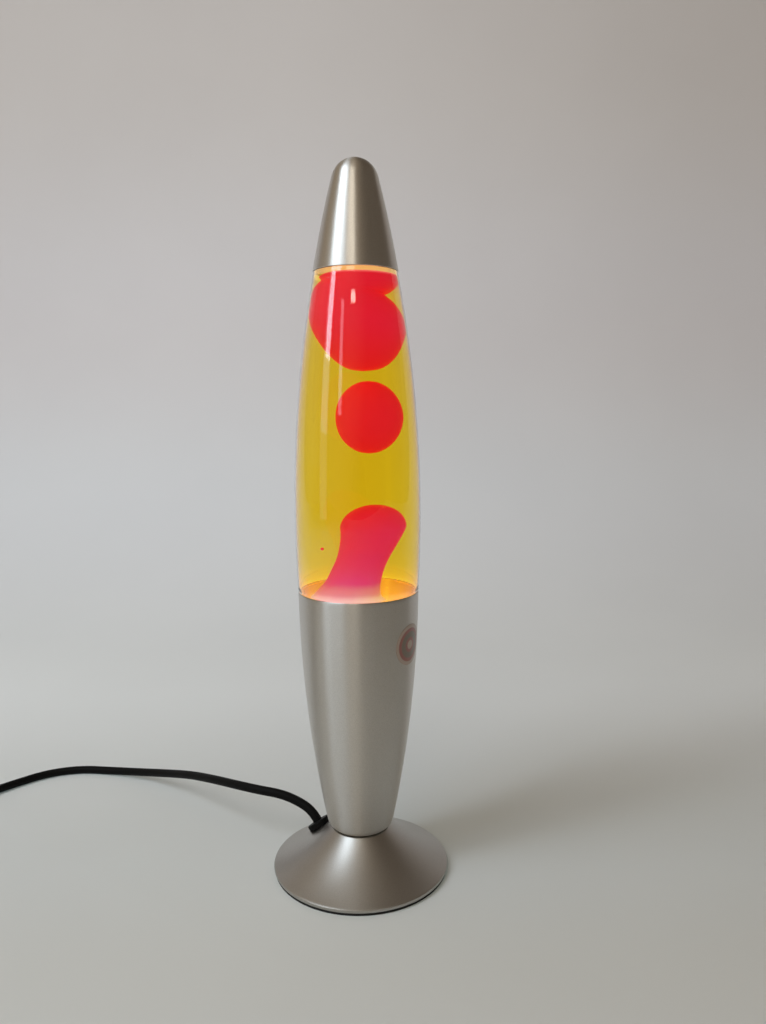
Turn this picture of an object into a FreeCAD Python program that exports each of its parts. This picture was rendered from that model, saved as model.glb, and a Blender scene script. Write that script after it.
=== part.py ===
import FreeCAD, Part
import math
import os

# Lava lamp: a spun metal cone on a flared foot, a tapered glass bottle of wax and liquid above
# a reflector bulb, and a loose metal cap.  Millimetres, +Z up, origin under the foot's centre.

V = FreeCAD.Vector
UP = V(0, 0, 1)

# ---------------------------------------------------------------- driving dimensions
overall_h = 400.0
sheet = 0.8                # thickness of the spun metal sheet

foot_r = 51.1
foot_edge_z = 3.6          # where the slope meets the rolled edge
foot_top_z = 25.2
foot_top_r = 17.0
foot_dip = 1.8             # how far the slope sags inside a straight line
foot_hem_r = 46.0
pad_h = 1.6

cone_rim_r = 34.0
cone_rim_z = 166.0
cone_floor_r = 13.4
cone_corner_r = 6.1
cone_bulge = 3.3
cone_lean = 11.7           # degrees from upright at the foot of the cone's side

glass_wall = 1.6
bottle_bottom_z = 119.0
bottle_ledge_z = 340.9
bottle_ledge_r = 23.0
bottle_bulge = 5.3
bottle_top_z = 370.6
neck_r = 12.6
fill_z = 352.0

cap_rim_r = 23.2
cap_rim_z = 341.0
cap_tip_r = 13.0
cap_lean = 12.0            # degrees from upright at the top of the cap's side
cap_bulge = 0.5

thread_r = 5.0             # hollow threaded tube that clamps the base together
thread_bore_r = 3.5
hex_flats = 14.0
nut_h = 3.0
cover_z = 7.3
cover_h = 1.0
ballast_h = 4.0

holder_z = 29.0
bulb_z = 41.0              # underside of the bulb's tip contact
bulb_len = 66.0
bulb_r = 19.5
bulb_front_r = 20.4        # sphere of the bulb's domed front

cord_d = 5.5
gland_azimuth = 150.0      # degrees, behind and to the left
gland_r = 28.8             # distance from the lamp's axis along the slope
gland_head_r = 7.0
gland_head_h = 3.6
gland_shank = 5.0

coil_layers = 2
coil_turn_steps = 2.7      # turns in each layer
coil_outer_r = 37.3        # middle of the outermost turn
tie_t = 1.0                # the strap under the coil lifts it by its thickness
coil_centre = V(-380.5, -0.5, 0)


# ---------------------------------------------------------------- helpers
def rz(r, z):
    return V(r, 0, z)


def bowed(a, b, sagitta):
    """Middle point of an arc from a to b that bows out from the axis by sagitta."""
    chord = b - a
    side = V(-chord.z, 0, chord.x)
    if side.x < 0:
        side = side * -1
    return (a + b) * 0.5 + side.normalize() * sagitta


def turned(steps):
    """Solid of revolution about Z: corners as points, arcs as (middle, end) pairs."""
    edges = []
    here = steps[0]
    for step in steps[1:] + [steps[0]]:
        if isinstance(step, tuple):
            edges.append(Part.Arc(here, step[0], step[1]).toShape())
            here = step[1]
        else:
            edges.append(Part.LineSegment(here, step).toShape())
            here = step
    return Part.Face(Part.Wire(edges)).revolve(V(0, 0, 0), UP, 360)


def washer(inner_r, outer_r, low_z, high_z):
    return turned([rz(inner_r, low_z), rz(outer_r, low_z), rz(outer_r, high_z), rz(inner_r, high_z)])


def disc(radius, low_z, high_z):
    return Part.makeCylinder(radius, high_z - low_z, V(0, 0, low_z))


def hex_nut(low_z, height, bore_r, flats=hex_flats):
    corner = flats / 2 / math.cos(math.radians(30))
    points = [V(corner * math.cos(math.radians(a)), corner * math.sin(math.radians(a)), low_z)
              for a in range(0, 361, 60)]
    blank = Part.Face(Part.makePolygon(points)).extrude(V(0, 0, height))
    dome = turned([rz(0, low_z), rz(corner - 0.8, low_z), rz(corner, low_z + 0.5),
                   rz(corner, low_z + height - 0.5), rz(corner - 0.8, low_z + height),
                   rz(0, low_z + height)])
    return blank.common(dome).cut(disc(bore_r, low_z - 1, low_z + height + 1))


def lofted(rings):
    """Smooth solid through level circles, each (centre x, z, radius)."""
    wires = [Part.Wire(Part.makeCircle(r, V(x, 0, z), UP)) for x, z, r in rings]
    return Part.makeLoft(wires, True, False)


def arc_radii(points):
    radii = []
    for a, b, c in zip(points, points[1:], points[2:]):
        before, after = b - a, c - b
        half_turn = before.getAngle(after) / 2
        radii.append(0.45 * min(before.Length, after.Length) / math.tan(half_turn))
    return radii


def cord_tube(name, points, diameter):
    """Tube along straight runs joined by tangent arcs."""
    edges = []
    here = points[0]
    radii = arc_radii(points)
    for a, b, c, radius in zip(points, points[1:], points[2:], radii):
        before, after = (b - a).normalize(), (c - b).normalize()
        half_turn = before.getAngle(after) / 2
        trim = radius * math.tan(half_turn)
        start, end = b - before * trim, b + after * trim
        inward = (after - before).normalize()
        middle = b + inward * (radius / math.cos(half_turn) - radius)
        edges.append(Part.LineSegment(here, start).toShape())
        edges.append(Part.Arc(start, middle, end).toShape())
        here = end
    edges.append(Part.LineSegment(here, points[-1]).toShape())
    path = Part.Wire(edges)
    first = (points[1] - points[0]).normalize()
    section = Part.Wire(Part.makeCircle(diameter / 2, points[0], first))
    tube = path.makePipeShell([section], True, False)
    ideal = math.pi * diameter ** 2 / 4 * path.Length
    smallest = min(radii) if radii else 0
    print(name, "length", round(path.Length, 1), "volume ratio", round(tube.Volume / ideal, 4),
          "smallest radius", round(smallest, 1), "radii", [round(r) for r in radii])
    return tube


def placed(shape, rotation, base):
    moved = shape.copy()
    moved.Placement = FreeCAD.Placement(base, rotation)
    return moved


# ---------------------------------------------------------------- base: foot and cone
foot_slope_top = rz(foot_top_r, foot_top_z)
foot_slope_end = rz(foot_r - 0.5, foot_edge_z)


def foot_surface(r):
    """Height of the foot's slope at radius r, and its unit normal as (outward, up)."""
    run = foot_slope_end.x - foot_slope_top.x
    fall = foot_slope_top.z - foot_slope_end.z
    t = (r - foot_slope_top.x) / run
    dip = 4 * foot_dip * math.hypot(run, fall) / run
    z = foot_slope_top.z - fall * t - dip * t * (1 - t)
    steepness = fall / run + dip * (1 - 2 * t) / run
    length = math.hypot(steepness, 1)
    return z, steepness / length, 1 / length


def foot_frame():
    """Where the cord's bushing sits: its place on the slope and its outward direction."""
    z, out, up = foot_surface(gland_r)
    a = math.radians(gland_azimuth)
    place = V(gland_r * math.cos(a), gland_r * math.sin(a), z)
    return place, V(out * math.cos(a), out * math.sin(a), up)


gland_place, gland_axis = foot_frame()
gland_turn = FreeCAD.Rotation(UP, gland_axis)
gland_hole_r = 5.6


def make_foot():
    edge_low = rz(foot_r - 0.3, pad_h)
    hem_top = pad_h + sheet
    inner_end = rz(foot_r - 1.5, foot_edge_z - 0.3)
    inner_top = rz(foot_top_r - 0.4, foot_top_z - sheet)
    shell = turned([
        rz(thread_r + 0.1, foot_top_z), foot_slope_top,
        (bowed(foot_slope_top, foot_slope_end, -foot_dip), foot_slope_end),
        (rz(foot_r, foot_edge_z - 0.9), edge_low),
        rz(foot_hem_r, pad_h), rz(foot_hem_r, hem_top), rz(foot_r - 1.5, hem_top), inner_end,
        (bowed(inner_end, inner_top, -foot_dip), inner_top),
        rz(thread_r + 0.1, foot_top_z - sheet)])
    hole = placed(Part.makeCylinder(gland_hole_r + 0.05, 8, V(0, 0, -5)), gland_turn, gland_place)
    return shell.cut(hole)


def cone_outline(inset):
    """Corner points of the cone's floor, rounded corner and side, set in from its outer surface."""
    lean = math.radians(cone_lean)
    corner_r = cone_corner_r - inset
    corner = rz(cone_floor_r, foot_top_z + cone_corner_r)
    half = math.radians((90 + cone_lean) / 2)
    side_foot = rz(corner.x + corner_r * math.cos(lean), corner.z - corner_r * math.sin(lean))
    corner_mid = rz(corner.x + corner_r * math.sin(half), corner.z - corner_r * math.cos(half))
    floor_edge = rz(cone_floor_r, foot_top_z + inset)
    rim = rz(cone_rim_r - inset, cone_rim_z)
    return floor_edge, corner_mid, side_foot, rim


def make_cone():
    floor_edge, corner_mid, side_foot, rim = cone_outline(0)
    in_floor, in_corner, in_side, in_rim = cone_outline(sheet)
    return turned([
        rz(thread_r + 0.1, foot_top_z), floor_edge, (corner_mid, side_foot),
        (bowed(side_foot, rim, cone_bulge), rim), in_rim,
        (bowed(in_rim, in_side, cone_bulge), in_side), (in_corner, in_floor),
        rz(thread_r + 0.1, foot_top_z + sheet)])


def make_sticker():
    """Thin round film that follows the cone's side."""
    sticker_r, film = 11.5, 0.15
    sticker_z, azimuth = 139.0, -31.0
    _, _, side_foot, rim = cone_outline(0)
    _, _, film_foot, film_rim = cone_outline(-film)
    skin = turned([side_foot, (bowed(side_foot, rim, cone_bulge), rim), film_rim,
                   (bowed(film_rim, film_foot, cone_bulge), film_foot)])
    a = math.radians(azimuth)
    punch = Part.makeCylinder(sticker_r, 60, V(0, 0, sticker_z), V(math.cos(a), math.sin(a), 0))
    return skin.common(punch)


# ---------------------------------------------------------------- base: clamping stack
cover_top_z = cover_z + cover_h
ballast_top_z = cover_top_z + ballast_h
foot_washer_z = foot_top_z - 2 * sheet
wire_slot_z = 15.8


def make_threaded_tube():
    tube = washer(thread_bore_r, thread_r, cover_z - nut_h - 0.3, holder_z + 5)
    slot = Part.makeBox(12, 3.6, 4.2, V(0, -1.8, wire_slot_z))
    slot.rotate(V(0, 0, 0), UP, gland_azimuth)
    return tube.cut(slot)


def make_cover():
    plate = washer(thread_r + 0.1, 37.5, cover_z, cover_top_z)
    for i in range(12):
        slot = Part.makeBox(9, 2.0, cover_h + 2, V(23, -1.0, cover_z - 1))
        slot.rotate(V(0, 0, 0), UP, 30 * i)
        plate = plate.cut(slot)
    return plate


def make_ballast():
    plate = washer(thread_r + 0.2, 30.8, cover_top_z, ballast_top_z)
    for i in range(6):
        hole = Part.makeCylinder(2.2, ballast_h + 2, V(20, 0, cover_top_z - 1))
        hole.rotate(V(0, 0, 0), UP, 60 * i)
        plate = plate.cut(hole)
    notch = Part.makeBox(30, 18, ballast_h + 2, V(15.5, -9, cover_top_z - 1))
    notch.rotate(V(0, 0, 0), UP, gland_azimuth)
    return plate.cut(notch)


# ---------------------------------------------------------------- base: lampholder
insert_z = holder_z + 7.5
holder_top_z = bulb_z - 1.0
shell_r = 7.05             # inside of the threaded brass shell
rivet_x = -4.5


def make_holder_base():
    cup = turned([
        rz(thread_r, holder_z), rz(10.5, holder_z), (rz(12.3, holder_z + 0.8), rz(13, holder_z + 2.5)),
        rz(13, holder_top_z), rz(10.8, holder_top_z), rz(10.8, holder_z + 3.5),
        rz(thread_r, holder_z + 3.5)])
    return cup


def make_holder_insert():
    plate = disc(10.8, insert_z, insert_z + 2.0)
    plate = plate.cut(Part.makeCylinder(1.2, 4, V(rivet_x, 0, insert_z - 1)))
    for side in (-1, 1):
        plate = plate.cut(Part.makeCylinder(1.3, 4, V(0, 7.5 * side, insert_z - 1)))
    return plate


def make_holder_contact():
    """Springy brass tongue under the bulb's tip, riveted through the insert."""
    low = insert_z + 2.0
    tongue = Part.Face(Part.makePolygon([
        V(-6.5, 0, low), V(-2.5, 0, low), V(2.2, 0, bulb_z - 0.6), V(3.4, 0, bulb_z - 0.6),
        V(3.4, 0, bulb_z - 0.1), V(2.0, 0, bulb_z - 0.1), V(-2.7, 0, low + 0.5), V(-6.5, 0, low + 0.5),
        V(-6.5, 0, low)])).extrude(V(0, 4, 0))
    tongue.translate(V(0, -2, 0))
    rivet = Part.makeCylinder(1.2, 3.5, V(rivet_x, 0, low - 3.5))
    return tongue.fuse(rivet).removeSplitter()


def make_holder_sleeve():
    return turned([
        rz(shell_r + 0.45, holder_top_z), rz(13, holder_top_z), rz(13, holder_top_z + 3),
        rz(12, holder_top_z + 4), rz(12, holder_top_z + 19),
        (rz(11.6, holder_top_z + 19.9), rz(10.8, holder_top_z + 20.2)),
        rz(shell_r + 0.45, holder_top_z + 20.2)])


def make_terminal_screws():
    screws = []
    for side in (-1, 1):
        head = Part.makeCylinder(1.9, 1.2, V(0, 7.5 * side, insert_z - 1.2))
        slot = Part.makeBox(4, 0.5, 0.5, V(-2, 7.5 * side - 0.25, insert_z - 1.3))
        shank = Part.makeCylinder(1.2, 1.8, V(0, 7.5 * side, insert_z))
        screws.append(head.cut(slot).fuse(shank).removeSplitter())
    return Part.makeCompound(screws)


def lead_route(side):
    """One core: in from the bushing, through the tube's slot, and up to its terminal."""
    a = math.radians(gland_azimuth)
    along = V(math.cos(a), math.sin(a), 0)
    across = V(-math.sin(a), math.cos(a), 0) * (0.95 * side)
    entry = gland_place - gland_axis * (gland_shank + 1.0)
    return [entry + across, along * 12 + V(0, 0, wire_slot_z - 1.0) + across,
            along * 3.6 + V(0, 0, wire_slot_z + 1.6) + across,
            along * 0.2 + V(0, 0, wire_slot_z + 7) + across, V(0, 0, holder_z + 4.0) + across,
            V(0, -3.6 * side, insert_z - 1.6), V(0, -5.5 * side, insert_z - 1.5)]


def make_lead(side):
    core = [Part.LineSegment(a, b).toShape() for a, b in zip(lead_route(side), lead_route(side)[1:])]
    solids = [Part.makeCylinder(0.8, edge.Length, edge.Vertexes[0].Point,
                                edge.Vertexes[1].Point - edge.Vertexes[0].Point) for edge in core]
    lead = solids[0]
    for joint, solid in zip(lead_route(side)[1:], solids[1:]):
        lead = lead.fuse(Part.makeSphere(0.8, joint)).fuse(solid)
    return lead


# ---------------------------------------------------------------- bulb
bulb_neck_z = bulb_z + 22.0
bulb_top_z = bulb_z + bulb_len


def make_bulb_tip():
    low = bulb_z
    return turned([rz(0, low), rz(1.6, low), (rz(2.9, low + 0.35), rz(3.4, low + 1.4)),
                   rz(3.4, low + 2.0), rz(0, low + 2.0)])


def make_bulb_insulator():
    low = bulb_z + 2.0
    return turned([rz(0, low), rz(3.8, low), rz(6.3, low + 2.5), rz(0, low + 2.5)])


def make_bulb_screw():
    """Thread-rolled brass shell, ribbed like the thread it stands for."""
    low, high, pitch = bulb_z + 4.5, bulb_z + 21.0, 2.822
    wave = [rz(6.3, low)]
    z = low + 0.6
    while z + pitch < high - 1.5:
        wave.append((rz(6.93, z + pitch / 4), rz(6.5, z + pitch / 2)))
        wave.append((rz(6.3, z + pitch * 3 / 4), rz(6.5, z + pitch)))
        z += pitch
    wave[1:1] = [rz(6.5, low + 0.6)]
    flare = [rz(6.7, high - 0.5), rz(8.1, high + 1.0), rz(7.8, high + 1.0), rz(6.2, high - 0.6),
             rz(6.0, low)]
    return turned(wave + flare)


def bulb_outline(inset):
    """Neck, waist, widest point, middle of the front and tip of the bulb, set in by inset."""
    centre_z = bulb_top_z - bulb_front_r
    front_r = bulb_front_r - inset
    edge = math.asin(bulb_r / bulb_front_r)
    neck = rz(7.7 - inset, bulb_neck_z)
    waist = rz(8.6 - inset, bulb_neck_z + 6)
    flank = rz(front_r * math.sin(edge), centre_z + front_r * math.cos(edge))
    front = rz(front_r * math.sin(edge / 2), centre_z + front_r * math.cos(edge / 2))
    return neck, waist, flank, front, rz(0, centre_z + front_r)


def make_bulb_glass():
    neck, waist, flank, front, top = bulb_outline(0)
    in_neck, in_waist, in_flank, in_front, in_top = bulb_outline(0.7)
    return turned([neck, waist, (bowed(waist, flank, 1.2), flank), (front, top),
                   in_top, (in_front, in_flank), (bowed(in_flank, in_waist, 1.2), in_waist), in_neck])


def make_bulb_reflector():
    """Aluminised coating on the inside of the bulb's flank."""
    _, waist, flank, _, _ = bulb_outline(0.7)
    _, in_waist, in_flank, _, _ = bulb_outline(0.85)
    return turned([waist, (bowed(waist, flank, 1.2), flank), in_flank,
                   (bowed(in_flank, in_waist, 1.2), in_waist)])


def make_bulb_stem():
    low = bulb_neck_z - 0.5
    return turned([rz(0, low), rz(4.5, low), rz(2.2, low + 4), rz(1.6, low + 12),
                   rz(0.9, low + 13.6), rz(0, low + 13.6)])


def make_bulb_supports():
    low = bulb_neck_z + 11.0
    wires = []
    for side in (-1, 1):
        foot, tip = V(0.9 * side, 0, low), V(5.5 * side, 0, low + 12)
        wires.append(Part.makeCylinder(0.25, (tip - foot).Length, foot, tip - foot))
    return Part.makeCompound(wires)


def make_bulb_filament():
    z = bulb_neck_z + 23.2
    arc = Part.Arc(V(-5.6, 0, z), V(0, 0, z + 2.6), V(5.6, 0, z)).toShape()
    section = Part.Wire(Part.makeCircle(0.3, V(-5.6, 0, z), arc.tangentAt(arc.FirstParameter)))
    return Part.Wire([arc]).makePipeShell([section], True, False)


# ---------------------------------------------------------------- bottle
shoulder_low = rz(cone_rim_r - sheet - 0.45, cone_rim_z - 0.9)
shoulder_out = rz(cone_rim_r, cone_rim_z + 0.9)
ledge_out = rz(bottle_ledge_r, bottle_ledge_z - 0.5)


def bottle_outer():
    """Outer outline of the glass, from its bottom's centre to its lip."""
    foot_edge = rz(25.0, bottle_bottom_z)
    side_low = rz(30.0, bottle_bottom_z + 5.5)
    ledge_in = rz(bottle_ledge_r - 1.2, bottle_ledge_z)
    neck_low = rz(neck_r, bottle_ledge_z + 17.0)
    return [
        rz(0, bottle_bottom_z + 2.0), (rz(10.0, bottle_bottom_z + 1.6), rz(19.0, bottle_bottom_z + 0.4)),
        (rz(22.0, bottle_bottom_z), foot_edge),
        (rz(28.6, bottle_bottom_z + 1.5), side_low),
        (bowed(side_low, shoulder_low, 0.25), shoulder_low),
        rz(cone_rim_r - sheet - 0.45, cone_rim_z + 0.15), rz(cone_rim_r - 0.35, cone_rim_z + 0.15),
        (rz(cone_rim_r - 0.1, cone_rim_z + 0.45), shoulder_out),
        (bowed(shoulder_out, ledge_out, bottle_bulge), ledge_out),
        (rz(bottle_ledge_r - 0.15, bottle_ledge_z - 0.15), rz(bottle_ledge_r - 0.5, bottle_ledge_z)),
        ledge_in,
        (rz(neck_r + 6.9, bottle_ledge_z + 8.6), neck_low),
        rz(neck_r, bottle_top_z - 5.5), rz(neck_r + 0.5, bottle_top_z - 4.8),
        rz(neck_r + 0.5, bottle_top_z - 1.2),
        (rz(neck_r, bottle_top_z - 0.3), rz(neck_r - 1.0, bottle_top_z))]


def cavity_outline(high_z):
    """Inside of the bottle up to high_z, which lies in or above its shoulder."""
    wall = glass_wall
    side_low = rz(30.0 - wall, bottle_bottom_z + 7.0)
    low = rz(shoulder_low.x - wall, cone_rim_z - 2)
    start = rz(shoulder_out.x - wall - 0.3, cone_rim_z + 3)
    ledge = rz(bottle_ledge_r - wall - 0.2, bottle_ledge_z - 1)
    outline = [
        rz(0, bottle_bottom_z + 4.2), (rz(12.0, bottle_bottom_z + 3.8), rz(24.0, bottle_bottom_z + 3.2)),
        (rz(27.0, bottle_bottom_z + 4.1), side_low), low, start,
        (bowed(start, ledge, bottle_bulge), ledge)]
    shoulder_mid = rz(neck_r + 4.9, bottle_ledge_z + 7.6)
    neck_low = rz(neck_r - 2.6, bottle_ledge_z + 16.0)
    outline += [(shoulder_mid, neck_low), rz(neck_r - 2.6, high_z), rz(0, high_z)]
    return outline


def make_bottle():
    glass = turned(bottle_outer() + [rz(0, bottle_top_z)])
    return glass.cut(turned(cavity_outline(bottle_top_z + 1)))


def make_crown():
    low, high = bottle_top_z - 5.2, bottle_top_z + 1.3
    skirt = turned([
        rz(neck_r + 0.55, low), rz(neck_r + 1.9, low), rz(neck_r + 1.2, high - 1.2),
        (rz(neck_r + 0.7, high - 0.3), rz(neck_r - 0.4, high)), rz(0, high), rz(0, high - 0.3),
        rz(neck_r - 0.5, high - 0.3), rz(neck_r + 0.55, high - 1.5)])
    flutes = 21
    for i in range(flutes):
        groove = Part.makeCylinder(0.8, 4.6, V(neck_r + 2.35, 0, low - 0.2))
        groove.rotate(V(0, 0, 0), UP, 360.0 / flutes * i)
        skirt = skirt.cut(groove)
    return skirt


def make_coil():
    """Stainless wire wound round the bottom of the bottle, under the wax."""
    wire_r, turns, pitch, radius = 0.9, 3, 2.2, 22.0
    low = bottle_bottom_z + 3.3 + wire_r + 0.1
    helix = Part.makeHelix(pitch, pitch * turns, radius)
    helix.translate(V(0, 0, low))
    start = V(radius, 0, low)
    section = Part.Wire(Part.makeCircle(wire_r, start, V(0, radius, pitch / (2 * math.pi))))
    return Part.Wire(helix).makePipeShell([section], True, True)


# ---------------------------------------------------------------- wax and liquid
wax_pool_z = 140.0
column_rings = [(0, 132, 27), (-2.5, 145, 26.5), (-8.0, 155, 22), (-9.3, 162, 18.4), (-5.3, 168, 16.7),
                (-1.7, 175, 15.0), (1.9, 183.5, 14.7), (5.8, 193.8, 16.4), (8.6, 203, 17.6),
                (8.6, 208.5, 14.4), (7.6, 212.4, 8.0), (7.2, 213.6, 2.0)]
top_rings = [(3.4, 290.4, 2.0), (3.2, 292.6, 10.0), (2.4, 298, 17.0), (1.8, 305, 21.8), (0.8, 312, 23.2),
             (-0.4, 319, 22.4), (-0.6, 326, 19.6), (0.4, 331, 18.2), (0.6, 336, 19.4), (0.0, 341, 18.6),
             (0.0, 345, 16.0)]
bead_centre = V(6.9, 0, 263.2)
bead_r, bead_half_h = 18.8, 19.9


def make_wax_column():
    cavity = turned(cavity_outline(fill_z))
    pool = cavity.common(disc(40, bottle_bottom_z, wax_pool_z))
    groove = washer(20.9, 23.1, bottle_bottom_z, bottle_bottom_z + 13.0)
    column = lofted(column_rings).common(cavity)
    return pool.fuse(column).cut(groove).removeSplitter()


def make_wax_bead():
    ellipse = Part.Ellipse(V(0, 0, bead_half_h), V(bead_r, 0, 0), V(0, 0, 0))
    half = Part.ArcOfEllipse(ellipse, -math.pi, 0).toShape()
    ends = [half.Vertexes[0].Point, half.Vertexes[1].Point]
    face = Part.Face(Part.Wire([half, Part.LineSegment(ends[1], ends[0]).toShape()]))
    bead = face.revolve(V(0, 0, 0), UP, 360)
    bead.translate(bead_centre)
    return bead


def make_wax_droplet():
    return Part.makeSphere(1.1, V(-20.4, 0, 189.5))


def make_liquid(wax_parts):
    body = turned(cavity_outline(fill_z)).cut(disc(40, bottle_bottom_z, wax_pool_z))
    for wax in wax_parts:
        body = body.cut(wax)
    return body


# ---------------------------------------------------------------- cap
def cap_outline(inset):
    lean = math.radians(cap_lean)
    tip_r = cap_tip_r - inset
    centre_z = overall_h - cap_tip_r
    top = rz(0, centre_z + tip_r)
    side_top = rz(tip_r * math.cos(lean), centre_z + tip_r * math.sin(lean))
    half = (lean + math.pi / 2) / 2
    tip_mid = rz(tip_r * math.cos(half), centre_z + tip_r * math.sin(half))
    rim = rz(cap_rim_r - inset, cap_rim_z)
    return top, tip_mid, side_top, rim


def make_cap():
    top, tip_mid, side_top, rim = cap_outline(0)
    in_top, in_mid, in_side, in_rim = cap_outline(sheet)
    return turned([top, (tip_mid, side_top), (bowed(side_top, rim, cap_bulge), rim), in_rim,
                   (bowed(in_rim, in_side, cap_bulge), in_side), (in_mid, in_top)])


# ---------------------------------------------------------------- cord, bushing, switch and plug
switch_len, switch_w, switch_h = 58.0, 26.0, 18.0
switch_inlet = V(-286.0, 55.5, 9.0)
switch_heading = V(-0.637, -0.771, 0).normalize()
plug_x = coil_centre.x - coil_outer_r
plug_z = 6.9

# The cord's route, chosen by hand: up out of the bushing, over in a low arch, down on to the
# surface, and along it to the switch, then from the switch into the coil.
cord_exit = gland_place + gland_axis * gland_head_h
lamp_side_route = [
    cord_exit, cord_exit + gland_axis * 9.6, V(-39.4, 21.4, 32.5), V(-50.2, 24.0, 36.0),
    V(-63.6, 27.4, 36.2), V(-79.5, 36.5, 33.6), V(-97.5, 53.0, 27.4), V(-117.5, 73.5, 19.4),
    V(-139.0, 93.0, 11.2), V(-162.0, 109.0, 5.0), V(-187.0, 118.5, 2.75), V(-212.0, 121.5, 2.75),
    V(-234.0, 114.5, 2.75), V(-251.0, 98.5, 2.75), V(-263.5, 83.0, 3.4), V(-274.5, 69.6, 7.2),
    switch_inlet]
coil_side_route = [
    switch_inlet + switch_heading * switch_len, V(-331.5, 0.4, 8.0), V(-340.5, -10.5, 4.9),
    V(-350.3, -22.4, 3.75)]


def make_bushing():
    """Snap-in strain relief: a round head on the slope and a grooved shank inside the foot."""
    bore_r = cord_d / 2
    shape = turned([
        rz(bore_r, 0), rz(gland_head_r - 0.3, 0), (rz(gland_head_r - 0.1, 0.1), rz(gland_head_r, 0.3)),
        rz(gland_head_r, gland_head_h - 0.8),
        (rz(gland_head_r - 0.25, gland_head_h - 0.25), rz(gland_head_r - 0.8, gland_head_h)),
        rz(bore_r, gland_head_h)])
    shank = washer(bore_r, gland_hole_r - 0.1, -gland_shank, 0)
    snap = turned([rz(gland_hole_r - 0.2, -2.0), rz(gland_hole_r + 0.7, -2.0), rz(gland_hole_r - 0.2, -4.4)])
    return placed(shape.fuse(shank).fuse(snap).removeSplitter(), gland_turn, gland_place)


def make_sheath_end():
    """The cord's sheath inside the bushing, ending just inside the foot."""
    sheath = disc(cord_d / 2, -gland_shank - 0.5, gland_head_h)
    return placed(sheath, gland_turn, gland_place)


switch_turn = FreeCAD.Rotation(V(1, 0, 0), switch_heading)
switch_centre = switch_inlet + switch_heading * (switch_len / 2)
rocker_pivot_z = 5.2       # above the switch's middle


def in_switch(shape):
    return placed(shape, switch_turn, switch_centre)


def switch_blank(inset):
    """Rounded brick, set in from the switch's outer faces."""
    brick = Part.makeBox(switch_len - 2 * inset, switch_w - 2 * inset, switch_h - 2 * inset)
    brick.translate(V(inset - switch_len / 2, inset - switch_w / 2, inset - switch_h / 2))
    uprights = [e for e in brick.Edges if abs(e.tangentAt(e.FirstParameter).z) > 0.9]
    brick = brick.makeFillet(7.0 - inset, uprights)
    return brick.makeFillet(2.2 - inset * 0.8, [e for e in brick.Edges if abs(e.CenterOfMass.z) > 5])


def switch_shell():
    hollow = switch_blank(1.6)
    posts = [Part.makeCylinder(3.0, switch_h, V(20.0 * side, 8.2 * side, -switch_h / 2)) for side in (-1, 1)]
    for post in posts:
        hollow = hollow.cut(post)
    shell = switch_blank(0).cut(hollow)
    bore = Part.makeCylinder(cord_d / 2, switch_len + 2, V(-switch_len / 2 - 1, 0, 0), V(1, 0, 0))
    window = Part.makeBox(19.8, 11.6, 8, V(-9.9, -5.8, 3))
    return shell.cut(bore).cut(window)


def half_space(upper):
    low = 0 if upper else -20
    return Part.makeBox(80, 60, 20, V(-40, -30, low))


screw_places = [V(20.0 * side, 8.2 * side, 0) for side in (-1, 1)]


def make_switch_half(upper):
    half = switch_shell().common(half_space(upper))
    for place in screw_places:
        half = half.cut(Part.makeCylinder(1.1, 11, place + V(0, 0, -switch_h / 2)))
        half = half.cut(Part.makeCylinder(2.3, 1.8, place + V(0, 0, -switch_h / 2)))
    if upper:
        for side in (-1, 1):
            ear = Part.makeBox(6, 1.4, 5.4, V(-3, 5.8 if side > 0 else -7.2, 2.2))
            half = half.fuse(ear)
        half = half.cut(Part.makeCylinder(0.8, 16, V(0, -8, rocker_pivot_z), V(0, 1, 0)))
    return in_switch(half.removeSplitter())


def make_switch_screws():
    screws = []
    for place in screw_places:
        low = place + V(0, 0, -switch_h / 2)
        head = Part.makeCylinder(2.2, 1.3, low + V(0, 0, 0.4))
        slot = Part.makeBox(5, 0.5, 0.6, low + V(-2.5, -0.25, 0.3))
        screws.append(head.cut(slot).fuse(Part.makeCylinder(1.1, 9, low + V(0, 0, 1.7))).removeSplitter())
    return in_switch(Part.makeCompound(screws))


def make_rocker():
    """Rocker with a dished top and a bore for its pin."""
    profile = [V(-8.6, 0, 6.6), V(-8.6, 0, 9.6), V(0, 0, 8.3), V(8.6, 0, 10.8), V(8.6, 0, 8.0),
               V(3.2, 0, 3.2), V(-3.2, 0, 3.2), V(-8.6, 0, 6.6)]
    edges = [Part.LineSegment(profile[0], profile[1]).toShape(),
             Part.Arc(profile[1], V(-4.3, 0, 8.7), profile[2]).toShape(),
             Part.Arc(profile[2], V(4.3, 0, 9.1), profile[3]).toShape()]
    edges += [Part.LineSegment(a, b).toShape() for a, b in zip(profile[3:], profile[4:])]
    rocker = Part.Face(Part.Wire(edges)).extrude(V(0, 11.0, 0))
    rocker.translate(V(0, -5.5, 0))
    rocker.rotate(V(0, 0, rocker_pivot_z), V(0, 1, 0), -3)
    bore = Part.makeCylinder(0.85, 14, V(0, -7, rocker_pivot_z), V(0, 1, 0))
    return in_switch(rocker.cut(bore))


def make_rocker_pin():
    return in_switch(Part.makeCylinder(0.8, 14.0, V(0, -7.0, rocker_pivot_z), V(0, 1, 0)))


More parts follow.
